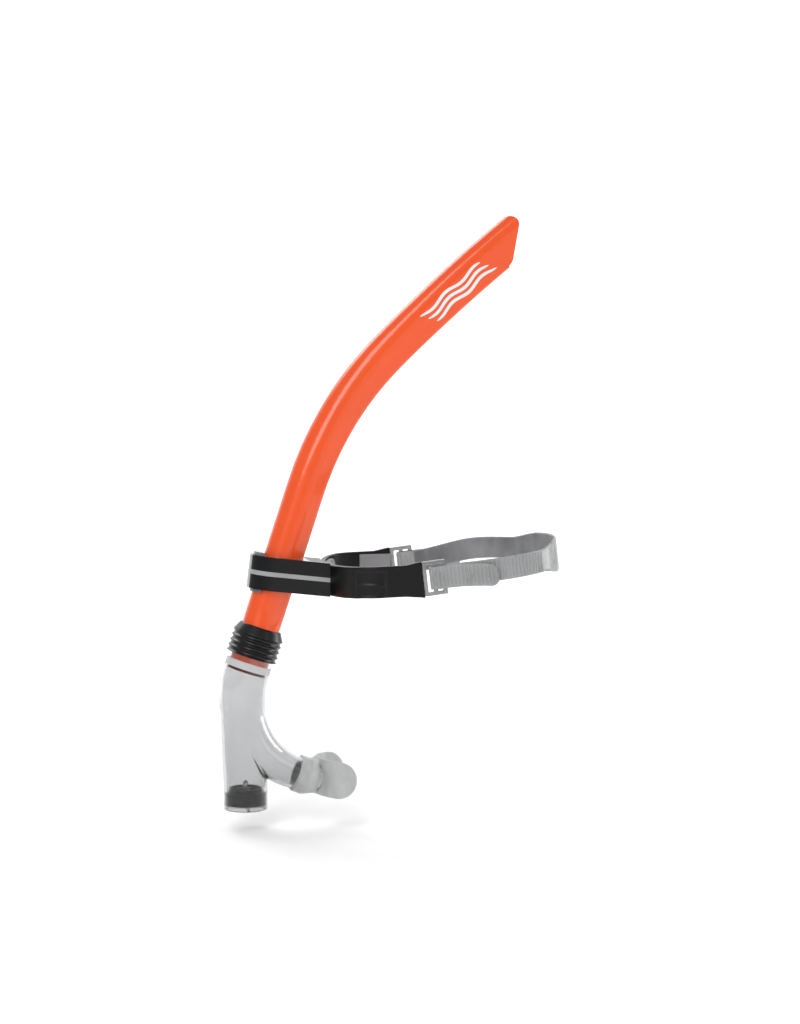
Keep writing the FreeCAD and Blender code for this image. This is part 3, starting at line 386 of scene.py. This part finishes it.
add_piece("ribbed_collar", turned_mesh("ribbed_collar", TUBE, collar_profile()), "collar", "tube",
          ["coupling_collar"])


# Soft and rounded mouldings

def make_mouthpiece():
    mesh = softened_mesh("silicone_mouthpiece", "bite_mouthpiece", 0.55, 14)
    add_piece("silicone_mouthpiece", mesh, "mouthpiece", "chamber", ["bite_mouthpiece"])


def make_head_frame():
    mesh = softened_mesh("rounded_head_frame", "head_frame", 0.6, 6)
    low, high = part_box("head_frame")
    panel_middle = low.x + 0.0255
    for vertex in mesh.vertices:
        point = vertex.co
        side = 1 if point.y > 0 else -1
        outer = abs(point.y) > abs(high.y) - 0.0212 and vertex.normal.y * side > 0.2
        if not outer:
            continue
        along = smoothstep(4.2 - abs(point.x - panel_middle) / 0.0028)
        across = smoothstep((0.0096 - abs(point.z)) / 0.0011)
        point.y -= side * 0.0011 * along * across
        crease = math.exp(-((point.z + 0.0005) / 0.0006) ** 2)
        point.y += side * 0.0007 * crease * along
    add_piece("rounded_head_frame", mesh, "frame", "head_bracket", ["head_frame"])


def make_forehead_cushion():
    """The pad is crowned: fuller in the middle of its height than along its edges."""
    mesh = softened_mesh("forehead_cushion", "forehead_pad", 0.8, 10)
    low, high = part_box("forehead_pad")
    half = (high.z - low.z) / 2
    for vertex in mesh.vertices:
        radial = Vector((vertex.co.x - 0.075, vertex.co.y))
        if radial.length < 0.0772:
            edge = min(1.0, abs(vertex.co.z) / half)
            lift = 0.0009 * (1 - edge ** 2) - 0.0006 * smoothstep((edge - 0.75) / 0.25)
            for seam in (-0.0035, 0.0035):
                lift -= 0.0005 * math.exp(-((vertex.co.z - seam) / 0.0007) ** 2)
            radial.length -= lift
            vertex.co.x = radial.x + 0.075
            vertex.co.y = radial.y
    pad = add_piece("forehead_cushion", mesh, "pad", "head_bracket", ["forehead_pad"])


make_mouthpiece()
make_head_frame()
make_forehead_cushion()
for side_name in ("left", "right"):
    liner_name = side_name + "_soft_liner"
    liner_node = side_name + "_arm_liner"
    add_piece(liner_name, softened_mesh(liner_name, liner_node, 0.4, 4), "liner", "head_bracket",
              [liner_node])
    buckle_name = side_name + "_clear_buckle"
    buckle_node = side_name + "_buckle"
    add_piece(buckle_name, softened_mesh(buckle_name, buckle_node, 0.35, 5), "buckle", "head_bracket",
              [buckle_node])


# Strap

# The strap in its own frame, in millimetres
STRAP_WALL = 1.8
STRAP_HALF = 8.2
PANEL_HALF = 12.5
INNER_LEG = 48.85
OUTER_LEG = 54.95
LOOP_RADIUS = 55.1
LOOP_CENTRE = 58.0
SIDE_START = 17.5
TURN_X = 8.8
TAIL_END = 55
STATION_STEP = 0.35
RIB_PITCH = 2.8
RIB_HEIGHT = 0.9


def side_path():
    """Right half of the loop's middle line, from the buckle to the middle of the back, as (x, y)."""
    rise = LOOP_RADIUS - INNER_LEG
    run = LOOP_CENTRE - SIDE_START
    bulge = (rise ** 2 + run ** 2) / (2 * rise)
    lean = math.asin(run / bulge)
    points = []
    for i in range(120):
        angle = math.pi / 2 + lean * (1 - i / 120)
        points.append((LOOP_CENTRE + bulge * math.cos(angle), LOOP_RADIUS - bulge + bulge * math.sin(angle)))
    for i in range(241):
        angle = math.pi / 2 * (1 - i / 240)
        points.append((LOOP_CENTRE + LOOP_RADIUS * math.cos(angle), LOOP_RADIUS * math.sin(angle)))
    return points


def tail_path(side):
    """The free tail's end, its outer leg, the turn round the buckle's bar and the inner leg."""
    turn_radius = (OUTER_LEG - INNER_LEG) / 2
    middle = (OUTER_LEG + INNER_LEG) / 2
    points = []
    for i in range(140):
        x = TAIL_END - (TAIL_END - TURN_X) * i / 140
        points.append((x, OUTER_LEG + 3.2 * smoothstep((x - 26) / 33)))
    for i in range(33):
        angle = math.pi / 2 + math.pi * i / 32
        points.append((TURN_X + turn_radius * math.cos(angle), middle + turn_radius * math.sin(angle)))
    for i in range(1, 26):
        points.append((TURN_X + (SIDE_START - TURN_X) * i / 25, INNER_LEG))
    return [(x, y * side) for x, y in points]


def resample(points, step):
    """Evenly spaced stations along a line: position, direction and length so far."""
    points = np.array(points)
    lengths = np.concatenate(([0], np.cumsum(np.linalg.norm(np.diff(points, axis=0), axis=1))))
    count = int(round(lengths[-1] / step))
    stations = np.linspace(0, lengths[-1], count + 1)
    x = np.interp(stations, lengths, points[:, 0])
    y = np.interp(stations, lengths, points[:, 1])
    direction = np.stack((np.gradient(x), np.gradient(y)), axis=1)
    direction /= np.linalg.norm(direction, axis=1)[:, None]
    return np.stack((x, y), axis=1), direction, stations


ROWS = (-1, -0.93, -0.82, -0.6, -0.3, 0, 0.3, 0.6, 0.82, 0.93, 1)


def strap_ring(x, y, outward, half, face_depth, droop=0.0):
    """One section: outer face upwards, inner face downwards, with rounded edges."""
    ring = []
    for row in ROWS:
        edge = smoothstep((1 - abs(row)) / 0.12)
        out = STRAP_WALL / 2 * (0.35 + 0.65 * edge) - face_depth(row)
        ring.append((x + outward[0] * out, y + outward[1] * out, half * row + droop))
    for row in ROWS[::-1]:
        edge = smoothstep((1 - abs(row)) / 0.12)
        out = -STRAP_WALL / 2 * (0.35 + 0.65 * edge)
        ring.append((x + outward[0] * out, y + outward[1] * out, half * row + droop))
    return [STRAP @ Vector(tuple(value * MM for value in point)) for point in ring]


def rib_depth(length, row):
    """Cross ribs leave a plain border along both edges of the strap."""
    wave = 0.5 - 0.5 * math.tanh(2.2 * math.sin(2 * math.pi * length / RIB_PITCH))
    border = smoothstep((0.9 - abs(row)) / 0.12)
    return RIB_HEIGHT * wave * border


def paint_shade_on_inner_faces(strap):
    """The inner face is duller than the ribbed outer one, and darker with painted shade."""
    strap.data.materials.append(MATERIALS["strap_inner"])
    count = len(ROWS)
    for polygon in strap.data.polygons:
        places = [index % (2 * count) for index in polygon.vertices]
        if len(places) == 4 and min(places) >= count + 1 and max(places) <= 2 * count - 2:
            polygon.material_index = 1


def make_strap_loop():
    right = side_path()
    left = [(x, -y) for x, y in reversed(right[:-1])]
    middle, direction, lengths = resample(right + left, STATION_STEP)
    total = lengths[-1]
    rings = []
    for (x, y), (dx, dy), length in zip(middle, direction, lengths):
        outward = (-dy, dx)
        panel = smoothstep((x - 92) / 18)
        droop = 3.0 * math.sin(math.pi * smoothstep((x - 20) / 90)) if y > 0 else 0.0
        half = STRAP_HALF + (PANEL_HALF - STRAP_HALF) * panel
        around = math.degrees(math.atan2(y, x - LOOP_CENTRE)) if x > LOOP_CENTRE else 90
        ribbed = smoothstep((abs(around) - 52) / 4)
        from_start = min(length, total - length)

        def depth(row):
            value = rib_depth(from_start, row) * ribbed
            for centre in (-36, 0, 36):
                inside = smoothstep((7.5 - abs(around - centre)) / 1.2)
                value += 0.75 * inside * smoothstep((0.72 - abs(row)) / 0.08)
            return value

        rings.append(strap_ring(x, y, outward, half, depth, droop))
    strap = add_piece("strap_loop", ringed_mesh("strap_loop", rings), "strap", None,
                      ["left_strap_side", "right_strap_side", "strap_back"])
    paint_shade_on_inner_faces(strap)
    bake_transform(strap)


def make_tail(side, side_name):
    middle, direction, lengths = resample(tail_path(side), STATION_STEP)
    rings = []
    total = lengths[-1]
    for (x, y), (dx, dy), length in zip(middle, direction, lengths):
        outward = (dy * side, -dx * side)
        half = STRAP_HALF * math.sqrt(max(0.02, 1 - max(0.0, 1 - length / 7.5) ** 2.4))
        droop = -0.0021 * max(0.0, x - 12) ** 2 if abs(y) > 52 else 0.0
        fade = smoothstep((total - length) / 3)

        def depth(row):
            return rib_depth(total - length, row) * fade

        rings.append(strap_ring(x, y, outward, half, depth, droop))
    add_piece(side_name + "_tail", ringed_mesh(side_name + "_tail", rings), "strap", "head_bracket",
              [side_name + "_strap_tail"])


make_strap_loop()
make_tail(-1, "left")
make_tail(1, "right")


# Printed waves on the tube

# The tube's centreline and blade section, in millimetres, as the CAD design has them
STRAIGHT = 106.0
BEND_ANGLE = math.radians(27)
BEND_RADIUS = 250.0
TIP_RADIUS = 1200.0
BLADE_START = 80
BLADE_END = 370.8
LOW_CHORD = 28.4
LOW_NOSE = 12
LOW_TAIL = 6.5
TOP_WIDENING = 3
TOP_NOSE = 31.4 * 0.28
TOP_TAIL = 31.4 * 0.102


def tube_station(length):
    """The frame of the tube's section at a length along its centreline, in the tube's own frame."""
    angle = min((length - STRAIGHT) / BEND_RADIUS, BEND_ANGLE)
    x = BEND_RADIUS * (1 - math.cos(angle))
    z = STRAIGHT + BEND_RADIUS * math.sin(angle)
    past = length - STRAIGHT - BEND_RADIUS * BEND_ANGLE
    if past > 0:
        extra = past / TIP_RADIUS
        x += TIP_RADIUS * (math.cos(BEND_ANGLE) - math.cos(BEND_ANGLE + extra))
        z += TIP_RADIUS * (math.sin(BEND_ANGLE + extra) - math.sin(BEND_ANGLE))
        angle = BEND_ANGLE + extra
    return pitched(x, z, math.degrees(angle))


def tube_section(length):
    """Nose radius, tail radius and width of the blade at a length."""
    share = smoothstep((length - BLADE_START) / (BLADE_END - BLADE_START))
    chord = LOW_CHORD + TOP_WIDENING * share
    nose = LOW_NOSE + (TOP_NOSE - LOW_NOSE) * share
    tail = LOW_TAIL + (TOP_TAIL - LOW_TAIL) * share
    return nose, tail, chord


def side_height(length, x):
    """Half the blade's thickness at a distance from the middle of its width, on its flat side."""
    nose, tail, chord = tube_section(length)
    first = nose - chord / 2
    slope = math.asin((nose - tail) / (chord / 2 - tail - first))
    if x < first + nose * math.sin(slope):
        return math.sqrt(nose ** 2 - (x - first) ** 2)
    return (nose - (x - first) * math.sin(slope)) / math.cos(slope)


WAVE_START = 252.0
WAVE_LENGTH = 60.0
WAVE_STAGGER = 4
WAVE_SWING = 1.3
WAVE_HALF_WIDTH = 1.25


def make_waves():
    """Three wave lines on each side, a plain decoration."""
    for side, side_name in ((-1, "left"), (1, "right")):
        for number, offset in enumerate((-2.4, 2.4, 7.2), start=1):
            rings = []
            start = WAVE_START + WAVE_STAGGER * number
            for i in range(97):
                share = i / 96
                length = start + WAVE_LENGTH * share
                place = TUBE @ tube_station(length)
                middle = offset + WAVE_SWING * math.sin(length / 4.6)
                half = WAVE_HALF_WIDTH * math.sqrt(max(0.01, 1 - abs(2 * share - 1) ** 6))
                ring = []
                for x, lift in ((-half, -0.3), (-half, 0.1), (0, 0.16), (half, 0.1), (half, -0.3)):
                    height = side_height(length, middle + x) + lift
                    ring.append(place @ Vector(((middle + x) * MM, side * height * MM, 0)))
                rings.append(ring)
            name = "%s_wave_%d" % (side_name, number)
            add_piece(name, ringed_mesh(name, rings), "print", "tube")


make_waves()


# Stage, light and camera

def area_light(name, place, size, power, target=(0, 0, 0.04)):
    light = bpy.data.lights.new(name, "AREA")
    light.shape = "RECTANGLE"
    light.size = size[0]
    light.size_y = size[1]
    light.energy = power
    lamp = bpy.data.objects.new(name, light)
    bpy.context.scene.collection.objects.link(lamp)
    lamp.location = place
    lamp.visible_camera = False
    lamp.rotation_mode = "QUATERNION"
    lamp.rotation_quaternion = (Vector(target) - Vector(place)).to_track_quat("-Z", "Y")
    return lamp


SWEEP_START = 1.6
SWEEP_RADIUS = 1.2


def make_floor():
    """A pale sweep that curves up behind the object."""
    low = CAD_BOX[0].z - 0.015
    mesh = bpy.data.meshes.new("floor")
    profile = [(-4.0, 0.0), (SWEEP_START, 0.0)]
    for turn in np.linspace(0.1, 1.5708, 14):
        profile.append((SWEEP_START + SWEEP_RADIUS * math.sin(turn), SWEEP_RADIUS * (1 - math.cos(turn))))
    profile.append((SWEEP_START + SWEEP_RADIUS, 5.0))
    verts = [(x, y, low + z) for y, z in profile for x in (-5, 5)]
    faces = [(2 * i, 2 * i + 1, 2 * i + 3, 2 * i + 2) for i in range(len(profile) - 1)]
    mesh.from_pydata(verts, [], faces)
    floor = bpy.data.objects.new("floor", mesh)
    bpy.context.scene.collection.objects.link(floor)
    for polygon in mesh.polygons:
        polygon.use_smooth = True
    material = new_material("studio_paper", (0.97, 0.97, 0.97), 0.9)
    grain = object_noise(material, 40, 4)
    vary_colour(material, grain, (0.96, 0.96, 0.96), (0.98, 0.98, 0.98))
    paint(floor, material)


def make_world():
    world = bpy.data.worlds.new("studio")
    bpy.context.scene.world = world
    world.use_nodes = True
    background = world.node_tree.nodes["Background"]
    background.inputs["Color"].default_value = (1, 1, 1, 1)
    background.inputs["Strength"].default_value = 0.5


CAMERA_AZIMUTH = math.radians(-13)
CAMERA_ELEVATION = math.radians(5)
CAMERA_DISTANCE = 1.8
CAMERA_TARGET = Vector((0.050, 0, 0.047))


def make_camera():
    data = bpy.data.cameras.new("camera")
    data.sensor_width = 36
    data.lens = 86.3
    camera = bpy.data.objects.new("camera", data)
    bpy.context.scene.collection.objects.link(camera)
    back = Vector((
        math.sin(CAMERA_AZIMUTH) * math.cos(CAMERA_ELEVATION),
        -math.cos(CAMERA_AZIMUTH) * math.cos(CAMERA_ELEVATION),
        math.sin(CAMERA_ELEVATION),
    ))
    camera.location = CAMERA_TARGET + back * CAMERA_DISTANCE
    camera.rotation_mode = "QUATERNION"
    camera.rotation_quaternion = (-back).to_track_quat("-Z", "Y")
    bpy.context.scene.camera = camera


make_floor()
make_world()
make_camera()
area_light("key", (-0.9, -1.5, 1.1), (0.9, 1.3), 20)
area_light("fill", (1.3, -1.4, 0.5), (0.8, 1.2), 4)
area_light("edge_strip", (1.55, 0.2, 0.1), (0.6, 1.5), 15)
area_light("rim", (-0.5, 1.0, 1.2), (0.8, 0.8), 8)
for place_x in (-1.3, 1.3):
    area_light("backdrop_%s" % ("left" if place_x < 0 else "right"), (place_x, 0.9, 1.3), (1.0, 1.0), 26,
               (place_x * 0.4, 2.8, 0.9))
bpy.context.scene.view_settings.view_transform = "Standard"
